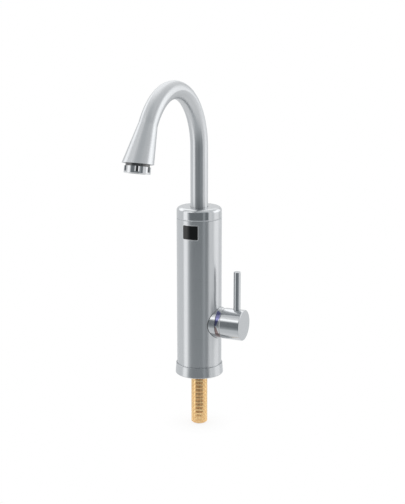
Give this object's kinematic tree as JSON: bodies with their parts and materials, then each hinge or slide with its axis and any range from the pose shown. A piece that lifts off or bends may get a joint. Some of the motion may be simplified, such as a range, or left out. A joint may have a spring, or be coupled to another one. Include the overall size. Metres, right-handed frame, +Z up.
{
  "type": "electric instant water heater tap",
  "caption": "Upright steel column tap with a swivelling gooseneck spout, side lever, display window and threaded shank, which heats water as it flows.",
  "frame": {"origin": "centre of the base on the deck, where the threaded shank leaves the base", "axes": "+Z up along the column, -Y the way the spout and the display face, +X the way the handle stands out"},
  "size_m": [0.0924, 0.2161, 0.4475],
  "materials": {
    "brushed_steel": "satin brushed stainless steel",
    "polished_chrome": "polished chrome plating",
    "brass": "plain turned brass",
    "plain_steel": "zinc plated steel",
    "black_rubber": "matt black rubber",
    "black_gloss": "gloss black acrylic",
    "cold_blue": "moulded blue plastic",
    "hot_red": "moulded red plastic",
    "white_plastic": "moulded white engineering plastic",
    "board_green": "solder-masked circuit board",
    "black_plastic": "moulded black component plastic",
    "ceramic_white": "lapped ceramic",
    "tank_steel": "drawn stainless steel",
    "magnet_grey": "sintered magnet",
    "reed_glass": "clear glass capsule"
  },
  "bodies": {
    "tap_body": {"base_flange": "brushed_steel", "base_gasket": "black_rubber", "base_screws": "plain_steel", "bearing_washer": "white_plastic", "body_sleeve": "brushed_steel", "cartridge_housing": "white_plastic", "cartridge_seals": "black_rubber", "chassis_plate": "white_plastic", "cold_mark": "cold_blue", "cord_gland": "black_rubber", "display_board": "board_green", "display_bracket": "white_plastic", "display_module": "black_plastic", "display_window": "black_gloss", "fixed_disc": "ceramic_white", "flow_switch_housing": "white_plastic", "heater_tank": "tank_steel", "heating_element": "tank_steel", "hot_mark": "hot_red", "outlet_adapter": "brass", "power_board": "board_green", "reed_switch": "reed_glass", "relay": "black_plastic", "ring_retainer": "polished_chrome", "shank_seal": "black_rubber", "socket_screws": "plain_steel", "spout_socket": "brass", "spout_wiper": "black_rubber", "tank_gasket": "black_rubber", "tank_lid": "tank_steel", "tank_screws": "plain_steel", "temperature_sensor": "tank_steel", "terminal_block": "black_plastic", "thermal_cutout": "black_plastic", "threaded_shank": "brass", "top_cap": "brushed_steel", "valve_body": "brass", "valve_collar": "polished_chrome"},
    "spout": {"spout_tube": "brushed_steel", "spout_stem": "brass", "spout_o_rings": "black_rubber", "spout_clip": "plain_steel", "spout_nozzle": "brushed_steel", "aerator_housing": "polished_chrome", "aerator_insert": "white_plastic", "aerator_washer": "black_rubber"},
    "handle": {"handle_hub": "brushed_steel", "lever_rod": "polished_chrome", "grub_screw": "plain_steel", "cartridge_spindle": "plain_steel", "moving_disc": "ceramic_white", "spindle_o_ring": "black_rubber"},
    "plunger": {"flow_plunger": "white_plastic", "plunger_magnet": "magnet_grey"}
  },
  "joints": [
    {"name": "spout_swivel", "type": "hinge", "parent": "tap_body", "child": "spout", "pos_m": [0, 0, 0.218], "axis": [0, 0, 1], "continuous": true},
    {"name": "handle_turn", "type": "hinge", "parent": "tap_body", "child": "handle", "pos_m": [0.0371, 0, 0.0696], "axis": [1, 0, 0], "range_deg": [-90, 90]},
    {"name": "plunger_lift", "type": "slide", "parent": "tap_body", "child": "plunger", "axis": [0, 0, 1], "range_m": [0, 0.004]}
  ]
}
